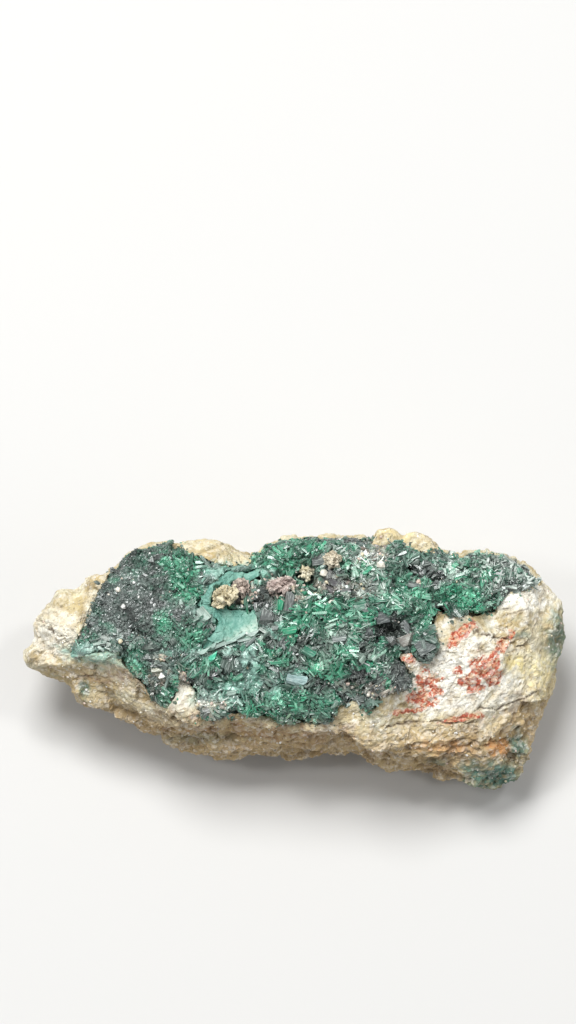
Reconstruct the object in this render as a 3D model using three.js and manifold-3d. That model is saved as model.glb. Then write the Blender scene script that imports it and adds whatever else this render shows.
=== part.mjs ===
// A hand specimen of antlerite: a crust of blocky green crystals grown over one face of a broken
// piece of pale rock, with a vein of turquoise copper salts and a few rock fragments caught in it.
// Millimetres, +Z up. The specimen lies on its flat broken back, with the crystal face up and
// leaning towards -Y. X runs along its length.
import * as THREE from "three";
import { ImprovedNoise } from "three/addons/math/ImprovedNoise.js";
import { mergeVertices } from "three/addons/utils/BufferGeometryUtils.js";
import Module from "manifold-3d";

const wasm = await Module();
wasm.setup();

// Driving dimensions
const halfLength = 42;
const faceLean = THREE.MathUtils.degToRad(16); // the crystal face against the resting plane
const restHeight = 17; // of the face frame's origin above the resting plane
const crustRise = 1.1; // crystals stand this far proud of the rock face
const crustDepth = 2.0; // and reach this far below it
const fragmentSink = 0.35; // share of a fragment's height that is sunk in the crust
const gap = 0.3; // between neighbouring pieces
const crackDepth = 1.1;
const wrapLevel = -4; // the crust wraps over the top edge down to about here
const wrapRaggedness = 2.4;
const farBack = -14; // cutting prisms start here, behind the crust and in front of the back
const farFront = 40; // and end here, clear of the face

const colours = { rock: 0xd8cba8, antlerite: 0x1f5a45, turquoise: 0x8ecdb8, fragment: 0xd9cfa6 };

// Everything below is drawn in the face frame: x along the specimen, y up the crystal face and
// z out of it. Outlines are seen square on to the face.
const topEdge = [
  [-42, 0.3], [-41.2, 1.9], [-40.6, 4.6], [-39.6, 8.4], [-38.3, 9.9], [-34.1, 11.2], [-32, 13.2],
  [-28.5, 13.9], [-26.4, 16.4], [-21.9, 18.1], [-19.1, 18.6], [-15.5, 18.9], [-13, 18.6],
  [-10.2, 17.5], [-6.3, 15.9], [-4.2, 18], [-0.9, 19.1], [4, 19.4], [9.1, 19.1], [11.2, 18.8],
  [13.3, 20.3], [16.1, 19.5], [19.8, 20], [21.9, 17.8], [24.6, 18], [26.5, 16.9], [29.2, 17],
  [34.6, 15.5], [38.3, 12.1], [41, 10.1], [41.6, 7.5], [42, 5.1],
];
const bottomEdge = [
  [-42, 0.3], [-40.6, -0.9], [-39.4, -2.6], [-35.6, -3.5], [-34.4, -6.2], [-30.1, -7.3],
  [-27.4, -8], [-23.2, -11.8], [-17.2, -14.4], [-10, -15.2], [0.2, -14.9], [7, -14.1],
  [9.8, -14.7], [12, -16.6], [18.6, -17.4], [26.5, -18.6], [31, -20.3], [34.4, -18.2],
  [36.1, -14.6], [37.6, -10.5], [39.8, -5.2], [40.5, -0.3], [41.7, 2.4], [42, 5.1],
];
// Below this ledge the face turns under, towards the resting plane.
const ledgeLine = [
  [-42, 0.2], [-39.5, -0.2], [-35.2, -0.4], [-30.5, 0.9], [-26.7, -0.2], [-23.6, -3.4],
  [-21, -6.5], [-14.1, -8.9], [-8.8, -8.2], [-1.1, -9.4], [7.4, -10.4], [12.9, -12.4],
  [18.3, -11.3], [28.4, -10.9], [31.5, -8.2], [38.4, -4.9], [41.5, 2.6], [42, 5],
];
// Depth of the cross-section out of the face along x: at the top edge, on the face, at the
// ledge, how far it is undercut there, at the bottom edge, and at the back.
const depthRows = [
  [-42, -4, -3.6, -3.6, 0.2, -4.2, -6],
  [-40.5, -3, 0, -0.4, 1, -4.6, -13],
  [-37, -1, 4, 2.8, 1.8, -4.2, -19],
  [-32, 0.5, 6.4, 5.2, 2.2, -3.6, -24],
  [-25, 2, 8.6, 6.8, 2.4, -4.4, -27],
  [-15, 2.6, 9, 6.4, 2, -6, -28],
  [-7, 1.6, 8, 6.6, 2, -5.6, -28],
  [5, 3, 10.6, 8, 2, -5.2, -28],
  [12, 3.2, 10.6, 7, 1.8, -4, -28],
  [18, 2.8, 9.6, 6.2, 1.4, -3, -28],
  [25, 2, 8, 5.4, 1.2, -2.6, -28],
  [32, 0.4, 6, 3, 1, -3.6, -26],
  [37, -1, 3.6, 0, 0.8, -5.6, -20],
  [40.5, -2.2, 0, -1.8, 0.6, -6, -13],
  [42, -3, -2.6, -2.8, 0.2, -4, -6],
];
// Depths in the same frame at the two tips, and how high up the face the tips lie.
const tips = { heights: [0.3, 5.1], depths: [-4, -3], crowding: 0.92 };
// Steps along the specimen, and between the knots of a cross-section.
const rockGrid = { stations: 52, steps: [4, 3, 4, 4, 3, 2, 2, 1, 2, 3] };
const crustGrid = { stations: 56, steps: [1, 1, 4, 6, 4, 3, 2, 1, 1, 1] };
const hiddenGrid = { stations: 28, steps: [1, 1, 2, 3, 2, 2, 1, 1, 1, 1] };
// Long swells, and flat broken facets: cell size, and how strongly the facets tilt and step.
const swells = { size: 9, rise: 0.7, octaves: 2 };
const rockFacets = { size: 6.5, tilt: 0.3, step: 0.45 };
const crystalFacets = { size: 2.9, tilt: 0.5, step: 0.5 };
const veinFacets = { size: 3.4, tilt: 0.3, step: 0.25 };

// The crystal crust, seen square on. Where it reaches the specimen's top edge it runs past it.
const crustOutline = [
  [-28.7, 13.8], [-29.8, 12.2], [-31.6, 8.7], [-33.4, 4.3], [-34.9, 0.9], [-32.2, 1.5],
  [-29.9, 2], [-27.4, 1.7], [-26.5, -0.1], [-23.6, -3.1], [-21.7, -5.9], [-20.3, -6.7],
  [-19.1, -5.6], [-18.5, -2.4], [-17.2, -1.7], [-15.4, -4.3], [-15.3, -6.9], [-14, -8.2],
  [-9.5, -7.4], [-3.7, -8.2], [1.2, -8.9], [3.3, -9.1], [5.1, -8.3], [6.6, -6.2], [9.4, -5.6],
  [10.3, -6.7], [11.4, -7.1], [12.6, -6.1], [12.4, -4.9], [13.9, -4.3], [17.4, -3.7],
  [17.4, -2.3], [14.8, 1.5], [17.8, 1.9], [18.9, 0.5], [20.6, 0.6], [21.6, 2.6], [20.6, 6.4],
  [21.9, 8.5], [23.6, 7.6], [28.2, 7.8], [30.5, 8.5], [32.7, 11], [34.4, 11.2], [37.4, 12.4],
  [40, 15], [36, 21], [27, 21], [25.9, 16.6], [22.4, 17.2], [21.4, 16.9], [17.3, 17.2],
  [15.5, 18.2], [13.3, 17.6], [11.4, 17.8], [10.4, 23], [-5.5, 23], [-6.4, 15.7], [-7.6, 14.5],
  [-12.2, 14.8], [-16.6, 16.5], [-19.6, 18.2], [-20, 22], [-30, 22],
];
// The turquoise vein that runs down the valley between the crust's two masses.
const veinOutline = [
  [-5.6, 14.9], [-5.9, 13.4], [-7.2, 12.6], [-7.6, 10.8], [-10.1, 9.9], [-11, 8.2], [-8.4, 8],
  [-6.2, 8.2], [-6, 5.6], [-5.6, 4.3], [-7.9, 3.7], [-10.1, 3.1], [-12.2, 2.2], [-14.6, 1.6],
  [-14.4, 2.9], [-12.9, 4.4], [-12, 6.4], [-13.8, 7.8], [-15.6, 8.9], [-14.1, 10.4],
  [-13.2, 12], [-11.6, 13.5], [-10.6, 13.9], [-8, 13.7], [-7, 14],
];
const veinRise = 1;
const veinDepth = 1.3;

// Forms of the face: a rise is positive and a dent negative, each fading out over its radii.
const faceForms = [
  { at: [2.4, 16.9], radii: [8, 2.4], rise: 1.5 }, // roll of crystals along the top edge
  { at: [1, 13.9], radii: [7, 1.1], rise: -1.6 }, // crease under the roll
  { at: [-8.4, 10.2], radii: [2.8, 5.5], rise: -2 }, // valley of the turquoise vein
  { at: [-22, 9], radii: [7, 7], rise: 0.8 }, // left mass
  { at: [8, 2], radii: [9, 5], rise: 1.1 }, // right mass
  { at: [-15.6, 1.2], radii: [4, 1.8], rise: -1.3 }, // hollow at the foot of the left mass
  { at: [17.6, 13.2], radii: [1.7, 1.5], rise: -2.1 }, // crevice
  { at: [21.6, 9], radii: [2, 1.5], rise: -1.6 }, // pit where the crust ends
  { at: [16, 4.4], radii: [2.8, 2.2], rise: -1.7 }, // cavity of dark blades
  { at: [28, 13], radii: [5, 3], rise: 0.8 }, // shoulder of crystals on the right
  { at: [-17.3, -4.2], radii: [1.9, 2.6], rise: 1 }, // knob of rock in the lower edge
  { at: [31, 2], radii: [5, 4], rise: 0.7 }, // swells of the pale right face
  { at: [26, -6], radii: [5, 3], rise: 0.6 },
  { at: [-36.5, 4.5], radii: [3, 3], rise: 0.6 },
];
const cracks = [
  { path: [[27.6, 4.3], [30, 3.6], [32.6, 2.8], [34.6, 2.4]], width: 0.7 },
  { path: [[17, -11], [20, -11], [23, -10.1], [28, -10.8]], width: 0.8 },
  { path: [[29.5, -8], [31.4, -8.3], [34.6, -6.9], [38, -6]], width: 0.8 },
  { path: [[28.2, 1.6], [30, -0.8], [30.8, -2.8]], width: 0.5 },
  { path: [[-37.6, 4.6], [-35.6, 1.8], [-33.6, 0.8]], width: 0.5 },
];
// Flat breaks struck off the back and the ends: a point on the break, and the way it faces.
const breaks = [
  { at: [-36.5, 0, -12], facing: [-0.8, -0.12, -0.58] },
  { at: [-35.5, 9.5, -9], facing: [-0.5, 0.6, -0.6] },
  { at: [37, 6, -14], facing: [0.85, 0.22, -0.45] },
  { at: [36.5, -12, -10.5], facing: [0.82, -0.1, -0.55] },
  { at: [-14, 16.4, -9], facing: [-0.12, 0.92, -0.36] },
  { at: [14, 17.6, -10], facing: [0.2, 0.95, -0.24] },
  { at: [0, -12.6, -9.6], facing: [-0.1, -0.62, -0.78] },
  { at: [24, -16, -12], facing: [-0.06, -0.72, -0.7] },
];
// Rock fragments caught in the crust: centre, and full size along x, y and z.
const fragments = [
  { name: "pale_fragment_left", at: [-11.3, 10.2], size: [4.4, 3.6, 3], turn: 0.3 },
  { name: "pale_fragment_middle", at: [-8.6, 11.4], size: [3.1, 2.9, 2.8], turn: 1.1 },
  { name: "pink_fragment", at: [-2.4, 12.1], size: [4.8, 2.6, 2.6], turn: 0.15 },
  { name: "cream_fragment", at: [1.4, 13.9], size: [2.4, 2.2, 2.4], turn: 0.6 },
  { name: "upper_fragment", at: [5.6, 15.9], size: [2.8, 3.4, 2.6], turn: 2.3 },
];
const fragmentSeed = 11;
// Crystals that stand out of the crust: their sizes, and where they may stand.
const crystals = {
  count: 48,
  seed: 7,
  length: [2.6, 5.2],
  width: [1.5, 2.9],
  across: [-33, 37],
  up: [-8, 18],
  lowest: 3, // above the rim, which is left plain where it turns to the back
  clearance: 1.6,
  sink: 0.35,
};

const noise = new ImprovedNoise();

// A repeatable random number from 0 to 1.
function randomFrom(seed) {
  let state = seed;
  return () => {
    state = (state * 16807) % 2147483647;
    return state / 2147483647;
  };
}

// Straight-line interpolation in a table whose rows start with x, sorted by x.
function rowAt(rows, x) {
  let next = rows.findIndex((row) => row[0] >= x);
  next = next < 1 ? (next < 0 ? rows.length - 1 : 1) : next;
  const [before, after] = [rows[next - 1], rows[next]];
  const share = THREE.MathUtils.clamp((x - before[0]) / (after[0] - before[0]), 0, 1);
  return before.slice(1).map((value, i) => THREE.MathUtils.lerp(value, after[i + 1], share));
}

// A repeatable number from -1 to 1 for a whole-numbered place.
function scatter(x, y, z, salt) {
  const value = Math.sin(x * 127.1 + y * 311.7 + z * 74.7 + salt * 53.3) * 43758.5453;
  return 2 * (value - Math.floor(value)) - 1;
}

// A repeatable vector with parts from -1 to 1 for a cell.
const scatterVector = ({ x, y, z }, salt) =>
  new THREE.Vector3(...[0, 1, 2].map((part) => scatter(x, y, z, salt + part)));

// Flat facets that tilt and step at random: the height of the facet that a point lies on. Each
// cell of the grid round the point holds one facet, centred somewhere inside the cell.
function facetsAt(point, { size, tilt, step }) {
  const home = point.clone().divideScalar(size).floor();
  const [middle, stray] = [0.5, 0.42];
  let [nearest, height] = [Infinity, 0];
  for (let n = 0; n < 27; n++) {
    const [i, j, k] = [n % 3, Math.floor(n / 3) % 3, Math.floor(n / 9)];
    const cell = new THREE.Vector3(i - 1, j - 1, k - 1).add(home);
    const centre = scatterVector(cell, 1).multiplyScalar(stray).add(cell).addScalar(middle);
    const away = point.clone().addScaledVector(centre, -size);
    if (away.length() > nearest) continue;
    nearest = away.length();
    const lift = step * scatter(cell.x, cell.y, cell.z, 7);
    height = tilt * scatterVector(cell, 4).dot(away) + lift;
  }
  return height;
}

// Rounded swells, each octave half as high and about half as long as the one before.
function swellsAt(point, { size, rise, octaves }) {
  let [sum, scale, height] = [0, 1 / size, rise];
  for (let i = 0; i < octaves; i++) {
    sum += height * noise.noise(point.x * scale, point.y * scale + 7.3 * i, point.z * scale);
    scale *= 2.1;
    height *= 0.5;
  }
  return sum;
}

// Height of the hand-placed forms at a point of the face.
function formsAt(x, y) {
  return faceForms.reduce((sum, { at, radii, rise }) => {
    const reach = ((x - at[0]) / radii[0]) ** 2 + ((y - at[1]) / radii[1]) ** 2;
    return sum + rise * Math.exp(-reach);
  }, 0);
}

// The closed cross-section curve at x, from the bottom edge up the face and down the back. The
// fractions place its knots between the outlines.
function crossSection(x) {
  const [top] = rowAt(topEdge, x);
  const [bottom] = rowAt(bottomEdge, x);
  const [ledge] = rowAt(ledgeLine, x);
  const [topDepth, faceDepth, ledgeDepth, undercut, bottomDepth, backDepth] = rowAt(depthRows, x);
  const height = top - bottom;
  const knots = [
    [bottom, bottomDepth],
    [THREE.MathUtils.lerp(bottom, ledge, 0.75), ledgeDepth - undercut],
    [ledge, ledgeDepth],
    [THREE.MathUtils.lerp(ledge, top, 0.5), faceDepth],
    [top - 0.09 * height, THREE.MathUtils.lerp(topDepth, faceDepth, 0.7)],
    [top, topDepth],
    [top - 0.05 * height, THREE.MathUtils.lerp(topDepth, backDepth, 0.5)],
    [top - 0.25 * height, backDepth],
    [bottom + 0.3 * height, backDepth],
    [bottom + 0.1 * height, THREE.MathUtils.lerp(bottomDepth, backDepth, 0.4)],
  ].map(([y, z]) => new THREE.Vector3(x, y, z));
  return new THREE.CatmullRomCurve3(knots, true, "catmullrom", 0.4);
}

// How freely the surface may leave the plain cross-section: the rim that is seen square on
// keeps its outline, while the faces and the back are rough.
function looseness(point, out) {
  const [least, backStart, backFade] = [0.3, -5, 5];
  const back = (backStart - point.z) / backFade;
  const free = THREE.MathUtils.clamp(Math.max(Math.abs(out.z), back), 0, 1);
  return THREE.MathUtils.lerp(least, 1, free);
}

// One point of the skin: a point of the cross-section moved out by the offset and the relief.
function skinPoint(curve, t, offset, facets) {
  const point = curve.getPoint(t);
  const along = curve.getTangent(t);
  const out = new THREE.Vector3(0, -along.z, along.y);
  const loose = looseness(point, out);
  const relief = facets ? swellsAt(point, swells) + facetsAt(point, facets) : 0;
  const forms = Math.max(0, out.z) * formsAt(point.x, point.y);
  const rise = offset * (offset > 0 ? loose : 1) + relief * loose + forms;
  return point.addScaledVector(out, rise);
}

// The specimen's skin, moved out by `offset` (in where it is negative), with the relief of its
// facets where it has any. Returned as a closed geometry with its vertices shared.
function skin(offset, { stations, steps }, facets) {
  const around = steps.reduce((a, b) => a + b);
  const quarter = 0.5 * Math.PI * tips.crowding;
  const positions = [];
  for (let i = 1; i < stations; i++) {
    const spread = Math.sin((2 * i) / stations * quarter - quarter) / Math.sin(quarter);
    const curve = crossSection(spread * halfLength);
    steps.forEach((count, span) => {
      for (let k = 0; k < count; k++) {
        const t = (span + k / count) / steps.length;
        positions.push(...skinPoint(curve, t, offset, facets).toArray());
      }
    });
  }
  const tipReach = halfLength + Math.max(0, offset);
  positions.push(-tipReach, tips.heights[0], tips.depths[0]);
  positions.push(tipReach, tips.heights[1], tips.depths[1]);
  const ring = (i, k) => i * around + (k % around);
  const [leftTip, rightTip] = [(stations - 1) * around, (stations - 1) * around + 1];
  const index = [];
  for (let k = 0; k < around; k++) {
    index.push(leftTip, ring(0, k), ring(0, k + 1));
    index.push(rightTip, ring(stations - 2, k + 1), ring(stations - 2, k));
    for (let i = 0; i < stations - 2; i++) {
      const [a, b, c, d] = [ring(i, k), ring(i, k + 1), ring(i + 1, k), ring(i + 1, k + 1)];
      index.push(a, c, b, b, c, d);
    }
  }
  return new THREE.BufferGeometry()
    .setAttribute("position", new THREE.Float32BufferAttribute(positions, 3))
    .setIndex(index);
}

// A three.js geometry as a solid that can be joined and cut.
function solidOf(geometry) {
  const bare = geometry.clone();
  bare.deleteAttribute("normal");
  bare.deleteAttribute("uv");
  const merged = mergeVertices(bare, 1e-4);
  return new wasm.Manifold(
    new wasm.Mesh({
      numProp: 3,
      vertProperties: new Float32Array(merged.attributes.position.array),
      triVerts: new Uint32Array(merged.index.array),
    }),
  );
}

function geometryOf(solid) {
  const mesh = solid.getMesh();
  return new THREE.BufferGeometry()
    .setAttribute("position", new THREE.BufferAttribute(mesh.vertProperties, 3))
    .setIndex(new THREE.BufferAttribute(mesh.triVerts, 1))
    .toNonIndexed();
}

const largestOf = (solid) =>
  solid.decompose().reduce((best, piece) => (piece.volume() > best.volume() ? piece : best));

// A prism over an outline of the face, grown sideways by `grow`.
function prism(outline, grow = 0) {
  const points = outline.map(([x, y]) => new THREE.Vector2(x, y));
  if (!THREE.ShapeUtils.isClockWise(points)) points.reverse();
  const grown = points.map((point, i) => {
    const before = points[(i + points.length - 1) % points.length];
    const after = points[(i + 1) % points.length];
    const along = after.clone().sub(before).normalize();
    return point.clone().add(new THREE.Vector2(-along.y, along.x).multiplyScalar(grow));
  });
  const depth = farFront - farBack;
  const geometry = new THREE.ExtrudeGeometry(new THREE.Shape(grown), { depth, bevelEnabled: false });
  return solidOf(geometry.translate(0, 0, farBack));
}

// The outline of a crack: a ribbon round its path, widest in the middle and pointed at the ends.
function crackOutline({ path, width }) {
  const curve = new THREE.SplineCurve(path.map(([x, y]) => new THREE.Vector2(x, y)));
  const steps = 3 * (path.length - 1);
  const sides = [[], []];
  for (let i = 1; i < steps; i++) {
    const [point, along] = [curve.getPoint(i / steps), curve.getTangent(i / steps)];
    const half = 0.5 * width * Math.sin((Math.PI * i) / steps) ** 0.5;
    sides[0].push([point.x - along.y * half, point.y + along.x * half]);
    sides[1].unshift([point.x + along.y * half, point.y - along.x * half]);
  }
  return [path[0], ...sides[0], path[path.length - 1], ...sides[1]];
}

// Everything beyond a flat break, as a block that can be cut away.
function beyond({ at, facing }) {
  const size = 90;
  const block = new THREE.BoxGeometry(size, size, size).translate(0, 0, size / 2);
  const turn = new THREE.Quaternion().setFromUnitVectors(
    new THREE.Vector3(0, 0, 1),
    new THREE.Vector3(...facing).normalize(),
  );
  return solidOf(block.applyQuaternion(turn).translate(...at));
}

// Everything below the resting plane, in the face frame.
function belowRest() {
  const size = 200;
  const block = new THREE.BoxGeometry(size, size, size).translate(0, 0, -size / 2 - restHeight);
  return solidOf(block.rotateX(-faceLean));
}

// Everything below the ragged line where the crust ends on the back, lowered by `drop`.
function belowWrap(drop) {
  const [half, step, reach, bottom] = [48, 3, 80, -60];
  const line = [];
  for (let x = half; x >= -half; x -= step) {
    const z = wrapLevel - drop + wrapRaggedness * noise.noise(0.21 * x, 3.7, 1.9);
    line.push(new THREE.Vector2(x, z));
  }
  const corners = [new THREE.Vector2(-half, bottom), new THREE.Vector2(half, bottom)];
  const shape = new THREE.Shape([...corners, ...line]);
  const block = new THREE.ExtrudeGeometry(shape, { depth: reach, bevelEnabled: false });
  return solidOf(block.rotateX(Math.PI / 2).translate(0, reach / 2, 0));
}

// Finds the height of a skin above a point of the face, or nothing beside the skin.
function heightFinder(geometry) {
  const target = new THREE.Mesh(geometry, new THREE.MeshBasicMaterial({ side: THREE.DoubleSide }));
  const caster = new THREE.Raycaster();
  return (x, y) => {
    caster.set(new THREE.Vector3(x, y, farFront), new THREE.Vector3(0, 0, -1));
    return caster.intersectObject(target)[0]?.point.z;
  };
}

function inside([x, y], outline) {
  let odd = false;
  outline.forEach(([x1, y1], i) => {
    const [x2, y2] = outline[(i + 1) % outline.length];
    if (y1 > y !== y2 > y && x < ((x2 - x1) * (y - y1)) / (y2 - y1) + x1) odd = !odd;
  });
  return odd;
}

// Whether a crystal can stand at a point: on the crust's face, clear of the vein and fragments.
function hasRoomAt(at, height) {
  const clear = fragments.every((piece) => {
    const away = Math.hypot(piece.at[0] - at[0], piece.at[1] - at[1]);
    return away > 0.5 * piece.size[0] + crystals.clearance;
  });
  const onFace = height > crystals.lowest;
  return clear && onFace && inside(at, crustOutline) && !inside(at, veinOutline);
}

// A flattened four-sided crystal, tapered a little towards its tip.
function crystalBlock(length, width) {
  const [tip, root, flatness] = [0.4 * width, 0.6 * width, 0.6];
  return new THREE.CylinderGeometry(tip, root, length, 4).scale(1, 1, flatness);
}

// Crystals half sunk in the crust at random places and angles.
function crystalBlocks() {
  const random = randomFrom(crystals.seed);
  const between = ([low, high]) => THREE.MathUtils.lerp(low, high, random());
  const blocks = [];
  while (blocks.length < crystals.count) {
    const at = [between(crystals.across), between(crystals.up)];
    const block = crystalBlock(between(crystals.length), between(crystals.width))
      .rotateX(between([-0.9, 0.9]))
      .rotateY(between([-0.8, 0.8]))
      .rotateZ(between([0, Math.PI]));
    const height = heightAt(...at);
    if (!hasRoomAt(at, height)) continue;
    blocks.push(solidOf(block.translate(...at, height - crystals.sink)));
  }
  return blocks;
}

// A lump of broken rock: a rounded block with uneven sides.
function lump({ size, turn }, seed, grow = 0) {
  const round = new THREE.IcosahedronGeometry(0.5, 1);
  round.deleteAttribute("normal");
  round.deleteAttribute("uv");
  const merged = mergeVertices(round, 1e-4);
  const places = merged.attributes.position;
  const corner = new THREE.Vector3();
  for (let i = 0; i < places.count; i++) {
    corner.fromBufferAttribute(places, i);
    const uneven = noise.noise(3 * corner.x + seed, 3 * corner.y, 3 * corner.z + seed);
    corner.multiplyScalar(1 + 0.5 * uneven);
    places.setXYZ(i, corner.x, corner.y, corner.z);
  }
  return merged.scale(...size.map((side) => side + 2 * grow)).rotateZ(turn);
}

const crystalSkin = skin(crustRise, crustGrid, crystalFacets);
const heightAt = heightFinder(crystalSkin);
const hiddenSkin = (depth) => solidOf(skin(-depth, hiddenGrid));
const crustZone = (grow) => prism(crustOutline, grow).subtract(belowWrap(grow));

// The rock has a socket for the crust, cracks, flat breaks and the resting face.
function matrixRock() {
  let rock = solidOf(skin(0, rockGrid, rockFacets));
  rock = rock.subtract(crustZone(gap).subtract(hiddenSkin(crustDepth + gap)));
  const underCracks = solidOf(skin(-crackDepth, rockGrid, rockFacets));
  cracks.forEach((crack) => {
    rock = rock.subtract(prism(crackOutline(crack)).subtract(underCracks));
  });
  breaks.forEach((flat) => {
    rock = rock.subtract(beyond(flat));
  });
  return largestOf(rock.subtract(belowRest()));
}

// The whole crust, before room is cut in it for the vein and the fragments.
function crustBlank() {
  let crust = solidOf(crystalSkin);
  crystalBlocks().forEach((block) => {
    crust = crust.add(block);
  });
  return crust.intersect(crustZone(0)).subtract(hiddenSkin(crustDepth));
}

function placedLump(piece, index, grow = 0) {
  const height = heightAt(...piece.at) + (0.5 - fragmentSink) * piece.size[2];
  return solidOf(lump(piece, fragmentSeed + index, grow).translate(...piece.at, height));
}

// A solid with room cut in it for the fragments that it holds.
const roundFragments = (solid) =>
  fragments.reduce((rest, piece, i) => rest.subtract(placedLump(piece, i, gap)), solid);

function turquoiseVein() {
  const top = solidOf(skin(veinRise, rockGrid, veinFacets));
  const vein = top.intersect(prism(veinOutline)).subtract(hiddenSkin(veinDepth));
  return largestOf(roundFragments(vein));
}

function antleriteCrust() {
  const veinSocket = prism(veinOutline, gap).subtract(hiddenSkin(veinDepth + gap));
  return largestOf(roundFragments(crustBlank().subtract(veinSocket)));
}

const specimen = new THREE.Group();
specimen.position.z = restHeight;

const facePlane = new THREE.Group();
facePlane.rotation.x = faceLean;
specimen.add(facePlane);

function addPiece(name, solid, color, roughness) {
  const material = new THREE.MeshStandardMaterial({ color, roughness, flatShading: true });
  const mesh = new THREE.Mesh(geometryOf(solid), material);
  mesh.name = name;
  facePlane.add(mesh);
}

addPiece("matrix_rock", matrixRock(), colours.rock, 0.9);
addPiece("antlerite_crust", antleriteCrust(), colours.antlerite, 0.35);
addPiece("turquoise_vein", turquoiseVein(), colours.turquoise, 0.6);
fragments.forEach((piece, i) => {
  addPiece(piece.name, placedLump(piece, i), colours.fragment, 0.85);
});

// The origin is in the middle of the bottom of the specimen's box.
const middle = new THREE.Box3().setFromObject(specimen, true).getCenter(new THREE.Vector3());
specimen.position.x -= middle.x;
specimen.position.y -= middle.y;

export default specimen;
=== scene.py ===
import itertools
import math

import bmesh
import bpy
import numpy as np
from mathutils import Matrix, Vector, noise
from mathutils.bvhtree import BVHTree


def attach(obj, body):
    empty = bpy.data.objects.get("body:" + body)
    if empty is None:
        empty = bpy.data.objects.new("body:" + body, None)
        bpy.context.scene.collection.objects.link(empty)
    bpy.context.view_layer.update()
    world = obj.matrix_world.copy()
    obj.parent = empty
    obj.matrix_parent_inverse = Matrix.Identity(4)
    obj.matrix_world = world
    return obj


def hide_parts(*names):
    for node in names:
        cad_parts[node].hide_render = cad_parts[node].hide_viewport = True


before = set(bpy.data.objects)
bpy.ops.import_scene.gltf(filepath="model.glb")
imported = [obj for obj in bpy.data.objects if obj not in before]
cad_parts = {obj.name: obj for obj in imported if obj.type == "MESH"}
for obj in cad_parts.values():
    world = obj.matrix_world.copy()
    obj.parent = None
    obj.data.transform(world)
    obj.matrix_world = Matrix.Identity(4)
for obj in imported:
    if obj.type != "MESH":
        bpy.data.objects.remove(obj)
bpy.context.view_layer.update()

mm = 0.001
random = np.random.default_rng(21)
bpy.context.scene.view_settings.view_transform = "Standard"

# The crystal face leans towards -Y. Places below are given in its own frame, in millimetres:
# x along the specimen, y up the face and z out of it.
face = {"origin": (0.0, -1.192, 17.0), "lean": math.radians(16)}
leanCos = math.cos(face["lean"])
leanSin = math.sin(face["lean"])


def turnToFace(ways):
    up = ways[:, 1] * leanCos + ways[:, 2] * leanSin
    out = ways[:, 2] * leanCos - ways[:, 1] * leanSin
    return np.stack([ways[:, 0], up, out], 1)


def toFace(points):
    return turnToFace(points / mm - np.array(face["origin"]))


def turnFromFace(x, y, z):
    return Vector((x, y * leanCos - z * leanSin, y * leanSin + z * leanCos))


def fromFace(x, y, z):
    return (turnFromFace(x, y, z) + Vector(face["origin"])) * mm


# The photograph's frame: what one pixel covers, the pixel over the middle of the face, how far the
# camera stands from the plane that is measured, and that plane's height over the face's middle.
# All lengths in millimetres.
photo = {"width": 576, "height": 1024, "pixel": 0.155, "middle": (297, 662), "away": 1000, "depth": 5}


def addObject(name, data):
    made = bpy.data.objects.new(name, data)
    bpy.context.scene.collection.objects.link(made)
    return made


def addCamera():
    aimX = (photo["width"] / 2 - photo["middle"][0]) * photo["pixel"]
    aimY = (photo["middle"][1] - photo["height"] / 2) * photo["pixel"]
    data = bpy.data.cameras.new("camera")
    data.sensor_width = 36
    data.lens = 36 * photo["away"] / (photo["height"] * photo["pixel"])
    data.clip_end = 20
    camera = addObject("camera", data)
    camera.location = fromFace(aimX, aimY, photo["depth"] + photo["away"])
    camera.rotation_euler = (face["lean"], 0, 0)
    bpy.context.scene.camera = camera


addCamera()
print("camera set")


# A socket that can be used in sums
class Value:
    def __init__(self, shader, socket):
        self.shader = shader
        self.socket = socket

    def maths(self, operation, *values):
        return self.shader.node("ShaderNodeMath", {"operation": operation}, dict(enumerate(values)))

    def __add__(self, other):
        return self.maths("ADD", self, other)

    def __rsub__(self, other):
        return self.maths("SUBTRACT", other, self)

    def __mul__(self, other):
        return self.maths("MULTIPLY", self, other)

    __radd__ = __add__
    __rmul__ = __mul__

    def between(self, low, high):
        # 0 below low, 1 above high, smooth in between
        values = {"Value": self, "From Min": low, "From Max": high}
        return self.shader.node("ShaderNodeMapRange", {"interpolation_type": "SMOOTHSTEP"}, values)


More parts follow.
